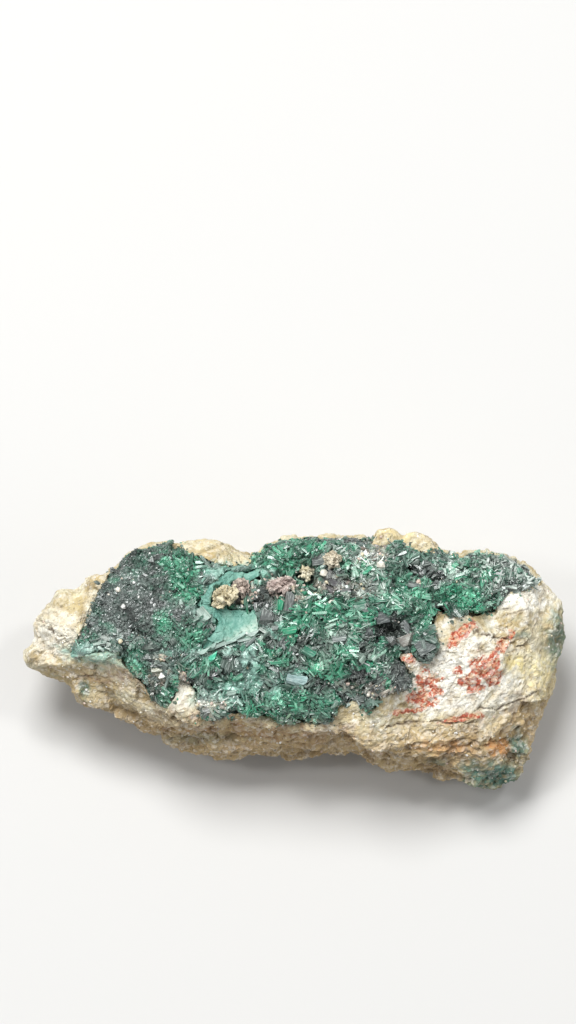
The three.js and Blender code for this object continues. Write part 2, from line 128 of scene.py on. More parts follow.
class Shader:
    def __init__(self, name):
        self.material = bpy.data.materials.new(name)
        self.material.use_nodes = True
        self.tree = self.material.node_tree
        self.tree.nodes.clear()
        self.surface = self.tree.nodes.new("ShaderNodeBsdfPrincipled")
        output = self.tree.nodes.new("ShaderNodeOutputMaterial")
        self.tree.links.new(self.surface.outputs[0], output.inputs["Surface"])
        place = self.node("ShaderNodeTexCoord", output="Object")
        self.place = self.node("ShaderNodeMapping", values={"Vector": place, "Scale": (1000, 1000, 1000)})

    def node(self, kind, settings=None, values=None, output=0):
        made = self.tree.nodes.new(kind)
        for name, value in (settings or {}).items():
            setattr(made, name, value)
        for name, value in (values or {}).items():
            self.fill(made.inputs[name], value)
        return Value(self, made.outputs[output])

    def fill(self, socket, value):
        if isinstance(value, Value):
            self.tree.links.new(value.socket, socket)
        elif isinstance(value, (tuple, list)) and len(socket.default_value) == 4:
            socket.default_value = (*value[:3], 1)
        else:
            socket.default_value = value

    def attribute(self, name, output="Fac"):
        return self.node("ShaderNodeAttribute", {"attribute_name": name}, output=output)

    def noise(self, size, detail=3, roughness=0.6, warp=0.0):
        # size in millimetres
        values = {"Vector": self.place, "Scale": 1 / size, "Detail": detail, "Roughness": roughness}
        return self.node("ShaderNodeTexNoise", values={**values, "Distortion": warp})

    def cells(self, size, feature="F1", output="Distance"):
        values = {"Vector": self.place, "Scale": 1 / size}
        return self.node("ShaderNodeTexVoronoi", {"feature": feature}, values, output)

    def mix(self, share, first, second, kind="MIX"):
        settings = {"data_type": "RGBA", "blend_type": kind}
        return self.node("ShaderNodeMix", settings, {0: share, 6: first, 7: second}, 2)

    def layered(self, colour, layers):
        # each layer is how much of it shows, and its colour
        for share, tint in layers:
            colour = self.mix(share, colour, tint)
        return colour

    def darken(self, colour, share, tone):
        return self.mix(share, colour, self.mix(1.0, colour, tone, "MULTIPLY"))

    def bump(self, height, depth, strength=1.0):
        # depth in millimetres
        values = {"Height": height, "Distance": depth * mm, "Strength": strength}
        return self.node("ShaderNodeBump", values=values)

    def finish(self, **values):
        for name, value in values.items():
            self.fill(self.surface.inputs[name.replace("_", " ")], value)
        return self.material


print("shader helpers ready")


# Relief that repeats itself on every run, worked out for many points at a time. Each pattern has
# its own layout by its salt.
salts = {
    "rock": 40, "bed": 100, "fineBed": 140, "bedCells": 118, "bedDice": 60, "patch": 77, "patchTone": 90,
    "plate": 170, "crystal_laths": 200, "crystal_needles": 240, "crystal_blocks": 280, "crystal_stubs": 320,
    "crystal_rim": 360, "fragments": 400, "dirt": 61,
}


def cellRandom(cells, salt):
    mixed = cells.astype(np.int64) @ np.array([73856093, 19349663, 83492791]) + salt * 7919
    mixed = ((mixed ^ (mixed >> 13)) * 1274126177) & 0xFFFFFFFF
    mixed = ((mixed ^ (mixed >> 15)) * 668265263) & 0xFFFFFFFF
    return ((mixed >> 8) & 0xFFFF) / 0xFFFF


def cellRandoms(cells, salt):
    return np.stack([cellRandom(cells, salt + k) for k in range(3)], 1)


def nearestCells(points, size, salt):
    # the scattered cell that each point belongs to, and how far it is from the next one
    home = np.floor(points / size)
    owner = home.copy()
    nearest = np.full(len(points), np.inf)
    second = nearest.copy()
    for step in itertools.product((-1, 0, 1), repeat=3):
        cells = home + np.array(step)
        reach = np.linalg.norm(points / size - cells - cellRandoms(cells, salt), axis=1)
        closer = reach < nearest
        second = np.where(closer, nearest, np.minimum(second, reach))
        owner = np.where(closer[:, None], cells, owner)
        nearest = np.where(closer, reach, nearest)
    return owner, second - nearest


def facets(points, size, tilt, step, salt):
    # every cell is a small plane with its own slope and level; also gives how close its edge is
    owner, edge = nearestCells(points, size, salt)
    away = points - (owner + cellRandoms(owner, salt)) * size
    slope = cellRandoms(owner, salt + 3) * 2 - 1
    return tilt * (slope * away).sum(1) + step * (cellRandom(owner, salt + 6) * 2 - 1), edge


def softNoise(points, size, octaves=2, seed=0.0):
    return np.array([noise.fractal(p, 0.8, 2.1, octaves) for p in (points / size + seed).tolist()])


def between(values, low, high):
    share = np.clip((values - low) / (high - low), 0, 1)
    return share * share * (3 - 2 * share)


def blend(first, second, share):
    share = np.clip(share, 0, 1)[:, None]
    return first * (1 - share) + np.array(second) * share


def stoneTints(share):
    return blend(np.tile(rock["cream"], (len(share), 1)), rock["tan"], share)


def spotReach(points, x, y, wide, tall, turn=0):
    c = math.cos(math.radians(turn))
    s = math.sin(math.radians(turn))
    dx = points[:, 0] - x
    dy = points[:, 1] - y
    return np.hypot((dx * c + dy * s) / wide, (dy * c - dx * s) / tall)


def spotMask(points, ragged, spots):
    # how strongly the listed spots of the face cover each point, with ragged edges
    mask = np.zeros(len(points))
    for x, y, wide, tall, strength, *turn in spots:
        reach = spotReach(points, x, y, wide, tall, *turn)
        mask = np.maximum(mask, strength * np.clip(1.6 - reach + ragged, 0, 1))
    return mask * between(points[:, 2], -12, -6)


def humps(points, places):
    height = np.zeros(len(points))
    for x, y, wide, tall, rise, *turn in places:
        height += rise * between(1.3 - spotReach(points, x, y, wide, tall, *turn), 0, 0.9)
    return height


def segments(points, paths, width):
    # 1 on the given lines of the face, 0 a width away from them
    nearest = np.full(len(points), np.inf)
    for path in paths:
        for start, end in zip(path, path[1:]):
            along = np.array(end, float) - start
            away = points[:, :2] - start
            share = np.clip((away @ along) / (along @ along), 0, 1)
            nearest = np.minimum(nearest, np.linalg.norm(away - share[:, None] * along, axis=1))
    return np.clip(1 - nearest / width, 0, 1)


def readPoints(mesh):
    points = np.empty(len(mesh.vertices) * 3)
    normals = np.empty(len(mesh.vertices) * 3)
    mesh.vertices.foreach_get("co", points)
    mesh.vertex_normals.foreach_get("vector", normals)
    return points.reshape(-1, 3), normals.reshape(-1, 3)


def dressedCopy(node, name, settings):
    # a fine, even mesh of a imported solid, with its points and normals and its points on the face;
    # its loose triangles are merged first
    work = bmesh.new()
    work.from_mesh(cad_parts[node].data)
    bmesh.ops.remove_doubles(work, verts=work.verts, dist=0.001 * mm)
    mesh = bpy.data.meshes.new(name)
    work.to_mesh(mesh)
    work.free()
    made = addObject(name, mesh)
    remesh = made.modifiers.new("remesh", "REMESH")
    remesh.mode = "VOXEL"
    remesh.voxel_size = settings["voxel"] * mm
    smooth = made.modifiers.new("smooth", "SMOOTH")
    smooth.iterations = settings["smoothing"]
    graph = bpy.context.evaluated_depsgraph_get()
    made.data = bpy.data.meshes.new_from_object(made.evaluated_get(graph))
    made.modifiers.clear()
    made.data.name = name
    world, normals = readPoints(made.data)
    return made, world, normals, toFace(world)


def pushOut(mesh, world, normals, height):
    # heights in millimetres along the normals; nothing goes below the floor
    points = world + normals * (height * mm)[:, None]
    points[:, 2] = np.maximum(points[:, 2], 0)
    mesh.vertices.foreach_set("co", points.ravel())
    mesh.update()


def writeMask(mesh, name, values):
    made = mesh.attributes.new(name, "FLOAT", "POINT")
    made.data.foreach_set("value", values.astype(np.float32))


def writeTint(mesh, colours):
    made = mesh.attributes.new("tint", "FLOAT_COLOR", "POINT")
    full = np.concatenate([colours, np.ones((len(colours), 1))], 1)
    made.data.foreach_set("color", full.astype(np.float32).ravel())


def treeOf(made):
    work = bmesh.new()
    work.from_mesh(made.data)
    tree = BVHTree.FromBMesh(work)
    work.free()
    return tree


def addPiece(made, slot, material, *nodes):
    made.data.materials.clear()
    made.data.materials.append(material)
    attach(made, "root")
    if nodes:
        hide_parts(*nodes)
    made.data.calc_loop_triangles()
    print(made.name, len(made.data.loop_triangles), "triangles")


# Where the face shows which mineral, and, under black, its cavities painted as shade: x, y, half width,
# half height, strength and, if turned, degrees
regions = {
    "emerald": [
        (-16.9, 15.3, 2.7, 1.3, 1.1, -10), (-17.8, 12.8, 1.5, 2.4, 1.1), (-16, 10.4, 1.9, 1.2, 1.3),
        (-20.6, 6.5, 1.2, 1.4, 0.9), (-16.2, 3.4, 1.9, 1.7, 0.8), (-11.6, 5.5, 0.9, 0.7, 0.8),
        (-13.4, 0.4, 1.5, 1.0, 1.2, 35), (-25.5, -0.1, 1.9, 2.1, 0.8, -45), (-20.7, -5.4, 0.9, 0.8, 0.8),
        (-28.5, 12.8, 0.8, 0.4, 0.5), (-1.6, 16.5, 4, 2.4, 0.7), (9.3, 15.3, 2.2, 1.7, 0.7),
        (18.8, 9.4, 2.2, 2.6, 1), (22.6, 11, 1.9, 0.9, 0.8), (-2.7, 8.6, 0.7, 0.9, 1),
        (-1.5, 5, 1.3, 1.2, 1), (-2.3, 0.7, 1.1, 1.2, 1), (7.5, 5.3, 3, 1.5, 0.7),
        (7.3, 1, 1.6, 1.5, 1.2), (4.3, -0.1, 1.9, 1.8, 0.8), (0.2, -7, 4.8, 2.2, 0.6),
        (27.3, 11.9, 2.9, 3.6, 0.8), (4, 8.4, 3.5, 1.2, 0.5)],
    "frost": [
        (-10.6, 2.9, 6, 0.6, 1, 21), (-6.2, 4.6, 2, 0.5, 1, -30), (11.1, 16.2, 3.6, 1.6, 1),
        (10.8, 12.3, 3.6, 1.8, 1.1), (7.5, 5.3, 3, 1.5, 0.8), (12.6, -0.4, 1.9, 1.5, 0.9),
        (32.9, 13.7, 4.8, 3.2, 1.4), (24.3, 15.2, 2.5, 1.7, 0.7), (16, 9, 4, 1.2, 0.4),
        (-28.7, 2.6, 2.6, 1.6, 0.8), (4.3, -0.1, 1.9, 1.8, 0.6), (-12.6, -5.5, 3.2, 1.3, 0.6),
        (-1.9, 8.7, 2.3, 0.9, 0.4), (-7.9, 4.6, 2.5, 1.2, 0.5), (9.5, -3.4, 2.1, 0.9, 0.4)],
    "grey": [
        (-26, 9.3, 7.4, 7.3, 1), (-14.6, 13.4, 1.6, 1.6, 1), (-21.2, -1.9, 1.9, 2.8, 1),
        (-9.8, -0.3, 2.2, 2.8, 0.9), (-4.7, 6.6, 1.2, 1.5, 1), (3.3, 16.1, 1.8, 0.9, 1),
        (5.4, 12, 2.3, 1.6, 1), (16.1, 3, 1.9, 1.3, 1), (19.5, 2.1, 1.5, 1.8, 0.9),
        (11.1, -5.7, 1.6, 1.1, 0.9), (17.7, 15.5, 4.1, 2.9, 0.6), (-21.2, 3, 4.7, 1.9, 0.6)],
    # painted shade: the deep cavities, which the bed's creases dig in and the crystals leave bare
    "black": [
        (17.5, 14.4, 0.9, 0.8, 1), (13.7, 5.4, 2.6, 1.9, 1), (21.5, 12.7, 0.9, 0.5, 0.8),
        (-24.6, 4.5, 1.6, 0.7, 0.5, -15), (-18.9, 11.2, 0.8, 0.5, 0.5), (22.3, 8.4, 0.8, 0.8, 1),
        (-2.5, 13.5, 2.9, 0.8, 0.6), (-7.1, 0.7, 1.7, 1.2, 0.3)],
    "aqua": [
        (-10.6, 2.9, 6.2, 0.9, 1.1, 21), (-19, 1.6, 2.4, 0.5, 0.6), (-8.8, 13.3, 4.2, 1.9, 1.3, -6),
        (-13, 10.7, 1.6, 1.9, 1.2), (-13.6, 8.1, 2.2, 1, 1), (-10.3, 7.3, 3, 0.9, 0.9, 8),
        (-9.2, 5.4, 3.5, 1.5, 1.2, 22), (-14.2, 2.6, 3.2, 0.7, 1.1, 32), (-7.4, -0.5, 1.3, 3.2, 0.9, 8),
        (-9.5, -3.8, 3.2, 1, 0.8, 10), (-12.4, -5.8, 3, 1.1, 0.9), (-31, 1.2, 4.2, 1.3, 1.3, -5),
        (-0.3, -2.2, 1.7, 1, 0.9), (-3.4, -3.3, 0.8, 2.2, 0.5), (-3.9, 4.8, 1.5, 0.35, 0.9, -35)],
    "rosy": [
        (-2.6, 11.5, 3.2, 1.4, 1, -10), (-7, 10.8, 2, 1.2, 0.9), (11.5, 16.6, 2.2, 1.5, 0.7),
        (4.5, 12, 2, 1.2, 0.6), (-11, 10.2, 2.6, 1.2, 0.8), (9.5, 11.5, 2.5, 1.4, 0.5),
        (-17.4, -3.2, 0.7, 2, 1, 12), (-13.5, -6.2, 2.2, 0.6, 0.8), (13, -4.4, 4.6, 0.9, 0.6, -8)],
    "cream": [
        (-17.4, -3.4, 0.7, 2.3, 1.2, 12), (-14, -6.6, 2.8, 0.5, 0.9), (-20.9, 0.7, 1, 0.5, 1),
        (-9.2, 12.4, 1.5, 0.7, 0.7), (-33, 0.6, 2.4, 0.5, 0.8), (12, 16.8, 1.6, 0.8, 0.6)],
    "red": [
        (25.2, 4.4, 2.4, 0.7, 1.2, 38), (31.3, 2, 2.4, 0.6, 1.1, 48), (28.8, -1.1, 2.1, 1.3, 1.3, 20),
        (30.4, -1.9, 0.8, 1.2, 1.2), (20.4, -3.6, 1.3, 2.4, 1.4, 10), (19.3, -5.9, 1.8, 0.9, 1.2),
        (17.6, -7.5, 2.1, 0.4, 0.9, 10), (24.8, -1.2, 0.8, 0.5, 1.1), (27.6, -3.9, 1.0, 0.8, 1),
        (25.4, -3.2, 0.5, 0.5, 0.9), (17.2, 0.8, 1.1, 0.9, 0.5), (25.5, -8.8, 2.7, 0.5, 0.7, 12)],
    "yellow": [
        (33.6, -0.1, 1.7, 1.3, 1.4), (37.7, -1.9, 2.3, 4, 1), (16, 19.1, 4.1, 1.6, 0.9),
        (-32.9, 6.5, 3.9, 3.1, 0.3), (-9.2, 9.8, 1.9, 1, 0.5), (19.5, -8.5, 2.7, 0.8, 0.6),
        (-13.5, 17.2, 6, 1.6, 0.45, -12), (-33, 9, 3, 2, 0.4)],
    "brown": [
        (-27.8, -2.6, 7.4, 1.7, 0.8), (-7.7, -10.8, 12.8, 2.1, 1), (31.5, -13.6, 1.4, 1.0, 1.5),
        (26, -9.3, 2.7, 1.2, 0.5), (34.2, -6.7, 2.7, 2.3, 0.5), (24.9, -14.3, 2.7, 0.9, 0.6),
        (-18.1, -7.8, 4.7, 1.9, 0.7), (-13.5, 17.6, 6, 1.5, 0.3, -12)],
    "amber": [
        (31.5, -13.6, 1.5, 1.1, 1.5), (22.5, -13.2, 3.2, 0.8, 0.7)],
    "green": [
        (40.8, 3.2, 1.6, 3.6, 0.9), (34.2, -13.3, 1.4, 1.8, 1), (30.4, -17.8, 3.8, 2.4, 1.2),
        (21.7, -16.1, 1.6, 0.6, 0.7), (-33.2, -4.3, 0.7, 1.1, 1), (-15, -12.1, 6.2, 0.8, 0.4),
        (34.8, 4.1, 1, 0.5, 0.7)],
    "white": [
        (25.6, -1.6, 8.5, 5, 1.1), (35.3, 10.2, 3.9, 2.1, 1), (17.4, 19.1, 4.5, 1.4, 0.3),
        (20.6, -4.6, 3.4, 3.6, 1.3), (-17.6, -4.6, 1.8, 2.6, 0.7), (23.9, 17.4, 1.6, 0.5, 1),
        (26, -6.3, 5.4, 1.9, 0.6), (-37.5, 4, 3.9, 3, 0.8), (-32.1, 5.7, 0.8, 3.9, 1)],
}


def masksAt(points, names):
    # points in face millimetres
    ragged = 0.75 * softNoise(points, 1.5, 3, 4.2)
    return {name: spotMask(points, ragged, regions[name]) for name in names}


# The pale rock that carries the crystals
rock = {
    "voxel": 0.36, "smoothing": 3,
    "facets": [(6.0, 0.14, 0.22), (2.4, 0.11, 0.14), (1.25, 0.08, 0.1)],  # size, tilt and step
    "lumps": 0.17, "roughness": 0.2, "pits": 0.34, "layer": 1.7, "layerStep": 0.26,
    "cracks": [
        [(26.6, 5.3), (28.8, 4.6), (31.6, 3.9), (34.6, 2.4), (36.5, 2.6)],
        [(14, -10), (19, -9.2), (23.5, -9.6), (28, -9.4)],
        [(28.4, -7), (31, -7.4), (34.5, -6.2), (37.2, -4.6)],
        [(-37.6, 4.6), (-36.4, 3.3), (-34.6, 2.2), (-33.6, 0.8)],
        [(-41, 7), (-38.6, 5.6), (-38, 4)],
        [(22.5, -14.8), (26, -13.6), (28.8, -14.4)]],
    "crackDepth": 0.45, "crackWidth": 0.32,
    # x, y, half width, half height, rise and, if turned, degrees
    "humps": [
        (14, 19.8, 2.2, 2, 0.9), (19.3, 18.9, 2.6, 1.6, 0.8), (-13.5, 17.5, 4.5, 1.5, 0.3, -10),
        (-40.8, 0.4, 1.8, 1.7, 0.7), (-39.6, 5.6, 1.5, 1.6, 0.6), (-36.6, 9.8, 1.6, 1.4, 0.6),
        (-31.2, 12.3, 2.2, 1.2, 0.4), (39.9, 6.2, 1.4, 2.2, 0.4), (37.2, -4.9, 1.6, 2.0, 0.4)],
    "cream": (0.68, 0.62, 0.44), "tan": (0.54, 0.43, 0.23), "chalk": (0.93, 0.91, 0.82),
    "olive": (0.42, 0.36, 0.24), "grey": (0.45, 0.45, 0.33), "amber": (0.60, 0.31, 0.12),
    "warm": (0.58, 0.38, 0.19), "red": (0.58, 0.13, 0.07), "darkRed": (0.22, 0.05, 0.04),
    "orange": (0.82, 0.42, 0.24), "yellow": (0.84, 0.72, 0.36), "brown": (0.33, 0.18, 0.08),
    "green": (0.11, 0.21, 0.165), "aqua": (0.36, 0.56, 0.46), "dark": (0.15, 0.11, 0.075),
    "shadow": (0.42, 0.33, 0.24),
}


def makeRock():
    made, world, normals, points = dressedCopy("matrix_rock", "rock", rock)
    height = np.zeros(len(points))
    edges = np.ones(len(points))
    for index, layer in enumerate(rock["facets"]):
        level, edge = facets(points, *layer, salts["rock"] + 9 * index)
        height += level
        edges = np.minimum(edges, edge + 0.1 * index)
        if index:  # the smaller planes also swell a little
            height += rock["lumps"] * (between(edge, 0, 0.45) - 0.6)
    height += rock["roughness"] * softNoise(points, 0.85, 3, 8.1)
    pits = between(softNoise(points, 1.7, 2, 5.5), 0.38, 0.75)
    height -= rock["pits"] * pits
    # broken layers, deepest on the lower band and behind
    coarse = softNoise(points, 5.0, 2, 1.3)
    layers = (points[:, 1] * 0.75 + points[:, 2] * 0.66 + 1.6 * coarse) / rock["layer"]
    saw = layers - np.floor(layers)
    banded = between(-points[:, 1] - 0.6 * points[:, 2], 4, 11)
    height *= 0.65 + 0.4 * banded
    height += humps(points, rock["humps"]) * between(points[:, 2], -14, -6)
    height += rock["layerStep"] * (saw ** 2 - 0.4) * (0.08 + 0.92 * banded)
    bent = points + 0.5 * softNoise(points, 1.4, 2, 3.3)[:, None]
    crack = segments(bent, rock["cracks"], rock["crackWidth"]) * between(points[:, 2], -6, -1)
    height -= rock["crackDepth"] * crack
    restingFade = between(world[:, 2] / mm, 0.1, 2.2)
    pushOut(made.data, world, normals, height * restingFade)
    # painted shade with some brown staining: darker in the pits, the low places and along the facet edges
    hollow = np.clip(pits + between(-height, 0.15, 0.9) + 0.6 * between(0.12 - edges, 0, 0.12), 0, 1)
    masks = masksAt(points, ["red", "yellow", "brown", "amber", "green", "white", "aqua"])
    for name, mask in {"hollow": hollow, "crack": crack, "banded": banded, **masks}.items():
        writeMask(made.data, name, mask)
    return made


def rockMaterial():
    shader = Shader("broken_rock")
    grainTone = shader.node("ShaderNodeSeparateColor", values={"Color": shader.cells(0.55, output="Color")})
    coarse = shader.noise(7, 2)
    middle = shader.noise(1.8, 4)
    fine = shader.noise(0.45, 4, 0.7)
    banded = shader.attribute("banded")
    strokes = shader.noise(0.95, 4, 0.65, 1.2)
    clumps = shader.noise(2.2, 3, 0.6).between(0.3, 0.5)
    reds = (shader.attribute("red") * clumps).between(0.05, 0.45)
    specks = shader.noise(0.42, 3).between(0.57, 0.66) * shader.noise(3.1, 2).between(0.35, 0.52)
    colour = shader.layered(shader.mix(coarse.between(0.38, 0.62), rock["cream"], rock["tan"]), [
        (middle.between(0.5, 0.7) * 0.75, rock["chalk"]),
        (shader.noise(2.6, 4, 0.7).between(0.52, 0.66) * 0.6, rock["grey"]),
        (banded * 0.75, shader.mix(middle.between(0.4, 0.6), rock["tan"], rock["olive"])),
        (shader.attribute("white") * fine.between(0.27, 0.46), rock["chalk"]),
        (shader.attribute("yellow") * middle.between(0.3, 0.6) * 0.8, rock["yellow"]),
        (shader.attribute("brown") * middle.between(0.35, 0.62) * 0.8, rock["brown"]),
        (shader.noise(1.6, 3).between(0.6, 0.72) * 0.5 * banded, rock["brown"]),
        (banded * 0.38, rock["warm"]),
        (shader.attribute("green") * fine.between(0.26, 0.44) * 0.9, rock["green"]),
        (shader.attribute("amber") * middle.between(0.3, 0.5) * 0.9, rock["amber"]),
        (shader.attribute("aqua") * 0.7, rock["aqua"]),
        # reds gather in clumps of short strokes with a thin orange stain round them
        (reds * middle.between(0.36, 0.5) * 0.75, rock["orange"]),
        (reds * strokes.between(0.46, 0.51), rock["red"]),
        (reds * strokes.between(0.56, 0.61) * 0.5, rock["darkRed"]),
        (grainTone.between(0.55, 1.0) * 0.35, rock["chalk"]),
        ((1 - grainTone).between(0.72, 1.0) * 0.4, rock["tan"]),
        (specks * 0.6, rock["dark"])])
    # painted shade with some brown staining in the hollows
    colour = shader.darken(colour, shader.attribute("hollow") * 0.5, rock["shadow"])
    colour = shader.mix(shader.attribute("crack").between(0.35, 0.9) * 0.9, colour, rock["dark"])
    height = fine * 0.7 + shader.cells(0.6) * 0.6 + shader.noise(0.2, 3, 0.7) * 0.5
    rough = 0.97 - grainTone.between(0.8, 1.0) * 0.4
    return shader.finish(Base_Color=colour, Roughness=rough, Normal=shader.bump(height, 0.24, 0.9))


rockPiece = makeRock()
addPiece(rockPiece, "matrix_rock", rockMaterial(), "matrix_rock")
rockNormals = readPoints(rockPiece.data)[1]
rockTree = treeOf(rockPiece)
print("rock dressed")


# The bed of grown-together crystals
bed = {
    "voxel": 0.27, "smoothing": 6, "swell": 0.12, "browDrop": 0.7,
    "backed": [(-18.3, -6.5), (11.5, 22)],  # from x to x, where rock stands behind the top edge
    "facets": [(3.0, 0.26, 0.32), (1.4, 0.30, 0.2), (0.7, 0.34, 0.10)],  # size, tilt and step
    "fineFacets": [(1.3, 0.12, 0.05), (0.55, 0.4, 0.1)],  # on the dense grey lobe
    "crevice": 0.32, "pits": 0.5,
    "joints": [0.45, 0.25],  # painted shade: how dark the crevices along the edges of the first facets are
    "patch": 2.6, "brightness": 1.14, "lobeShade": 0.32, "frosting": 0.8,
    # x, y, half width, half height, rise and, if turned, degrees
    "humps": [
        (-1.8, 16.4, 4.6, 2.5, 0.7), (9.5, 15.0, 2.6, 2.0, 0.35), (19.5, 9.6, 3.6, 2.6, 0.35),
        (7.3, 0.5, 4.5, 2.6, 0.45), (0.5, -7, 5.2, 2.3, 0.3)],
    "creases": [
        (-2.3, 13.4, 4.0, 0.5, -0.9, 4), (13.8, 5.2, 2.2, 1.0, -1.3, -20),
        (17.6, 14.3, 1.5, 0.45, -1.4, -42), (21.4, 12.6, 1.1, 0.5, -0.7), (22.3, 8.5, 0.8, 0.7, -0.8),
        (-24.5, 4.6, 1.8, 0.5, -0.6, -15), (-19, 11.1, 0.9, 0.4, -0.5), (-6.9, 0.9, 1.2, 0.6, -0.5, -40),
        (8.4, 8.1, 1.3, 0.5, -0.4)],
}
tints = {
    "greyGreen": (0.14, 0.215, 0.17), "slate": (0.085, 0.10, 0.095), "grey": (0.135, 0.155, 0.147),
    "deep": (0.045, 0.19, 0.12), "emerald": (0.035, 0.34, 0.18), "bright": (0.22, 0.66, 0.43),
    "pale": (0.74, 0.82, 0.75), "black": (0.01, 0.015, 0.013), "aqua": (0.32, 0.56, 0.47),
    "earth": (0.30, 0.24, 0.16), "rosy": (0.56, 0.46, 0.38), "cream": (0.84, 0.80, 0.64),
    "shadow": (0.25, 0.3, 0.28), "stripe": (0.3, 0.36, 0.33),  # these two darken what is under them
}
bedRegions = ["emerald", "frost", "grey", "black", "aqua", "brown", "rosy", "cream"]


def onLobe(points):
    # the dense grey lobe at the left
    return between(-points[:, 0], 16, 20) * between(points[:, 1], 1, 4)


def crystalTints(points, masks, dice, frosting):
    # dice holds three random numbers for each point
    one, two, three = dice.T
    bent = points + 0.7 * softNoise(points, 1.3, 2, 9.7)[:, None]
    owner = nearestCells(bent, bed["patch"], salts["patch"])[0]
    patch = 0.8 * cellRandom(owner, salts["patchTone"]) + 0.24 * (one - 0.5)
    patch += 0.12 + 0.5 * softNoise(points, 5.5, 2, 31.0)
    colours = np.tile(tints["slate"], (len(points), 1))
    for name, share in [
            ("greyGreen", between(patch, 0.1, 0.34)),
            ("deep", between(patch, 0.34, 0.5)),
            ("emerald", between(patch, 0.64, 0.86) * (0.55 + 0.45 * two)),
            ("grey", masks["grey"] * (0.8 + 0.2 * two)),
            ("emerald", 1.2 * masks["emerald"] * (0.5 + 0.5 * two)),
            ("bright", masks["emerald"] * between(three, 0.6, 0.95)),
            ("black", between(three * one, 0.55, 0.8) * 0.75),
            # painted shade: the cavities of the black spots
            ("black", between(masks["black"] + 0.5 * (three - 0.5), 0.4, 0.6) * 0.92),
            ("aqua", masks["aqua"] * (0.55 + 0.45 * between(two, 0.1, 0.5))),
            ("earth", masks["brown"] * between(one, 0.3, 0.7) * 0.8),
            ("rosy", masks["rosy"] * between(three, 0.25, 0.6)),
            ("cream", masks["cream"] * between(one, 0.1, 0.4)),
            # the pale share is partly the real white frost blades and partly painted glints on crystals
            # anywhere
            ("pale", (0.06 + frosting * masks["frost"]) * between(two, 0.35, 0.7))]:
        colours = blend(colours, tints[name], share)
    lobe = onLobe(points)
    shade = bed["brightness"] - bed["lobeShade"] * lobe
    shade += 0.5 * np.clip(softNoise(points, 3.4, 2, 51.0), -0.6, 0.6)
    # painted shade in the crevices along the edges of the larger facets
    for index, depth in enumerate(bed["joints"]):
        edge = nearestCells(points, bed["facets"][index][0], salts["bed"] + 9 * index)[1]
        shade *= 1 - depth * between(0.2 - edge, 0, 0.17) * (1.1 - lobe)
    return colours * shade[:, None]


def veneerAt(points):
    # behind the top edge the crystals end in a ragged line, and bare rock takes over
    ragged = softNoise(points, 3.0, 3, 14.1)
    return between(3.2 * ragged - 0.6 - points[:, 2], 0, 0.5)


def makeBed():
    made, world, normals, points = dressedCopy("antlerite_crust", "crystal_bed", bed)
    masks = masksAt(points, bedRegions)
    calm = between(masks["grey"], 0.2, 0.8) * between(-points[:, 0], 12, 20)
    calm = np.clip(calm + between(masks["aqua"], 0.2, 0.7), 0, 1)
    height = np.full(len(points), bed["swell"])
    gaps = np.zeros(len(points))
    for index, layer in enumerate(bed["facets"]):
        level, edge = facets(points, *layer, salts["bed"] + 9 * index)
        height += level * (1 - 0.8 * calm)
        gaps = np.maximum(gaps, between(0.16 - edge, 0, 0.14) * (0.5 + 0.25 * index))
    for index, layer in enumerate(bed["fineFacets"]):
        height += facets(points, *layer, salts["fineBed"] + 9 * index)[0] * calm
    gaps *= 1 - 0.6 * calm
    gaps *= 1 - 0.8 * np.clip(masks["aqua"], 0, 1)
    pits = between(softNoise(points, 0.9, 2, 6.1), 0.5, 0.8)
    shape = humps(points, bed["humps"]) + humps(points, bed["creases"])
    height += shape - bed["crevice"] * gaps - bed["pits"] * pits
    # the open top edge is let down by as much as the crystals add to it, but not where rock
    # stands behind it
    brow = between(turnToFace(normals)[:, 1], 0.35, 0.85) * between(points[:, 2], -4, -0.5)
    for start, end in bed["backed"]:
        brow *= 1 - between(points[:, 0], start - 0.8, start) * between(-points[:, 0], -end - 0.8, -end)
    veneer = veneerAt(points)
    height = height * (1 - 0.55 * brow) * (1 - 0.5 * veneer) - bed["browDrop"] * brow + 0.3 * veneer
    pushOut(made.data, world, normals, height)
    owner = nearestCells(points, 0.75, salts["bedCells"])[0]
    colours = crystalTints(points, masks, cellRandoms(owner, salts["bedDice"]), bed["frosting"])
    stone = stoneTints(between(softNoise(points, 1.2, 3, 7.7), -0.3, 0.4))
    colours = blend(colours, (0, 0, 0), veneer) + stone * veneer[:, None]
    writeMask(made.data, "stone", veneer)
    # painted shade: the bed goes towards black in its gaps, pits, creases and low places
    deep = gaps + pits + between(-shape, 0.25, 0.6) + between(-height, 0.3, 0.9)
    dark = (1 - 0.7 * veneer) * np.clip(deep, 0, 1)
    writeTint(made.data, blend(colours, tints["black"], dark * 0.7))
    return made, normals


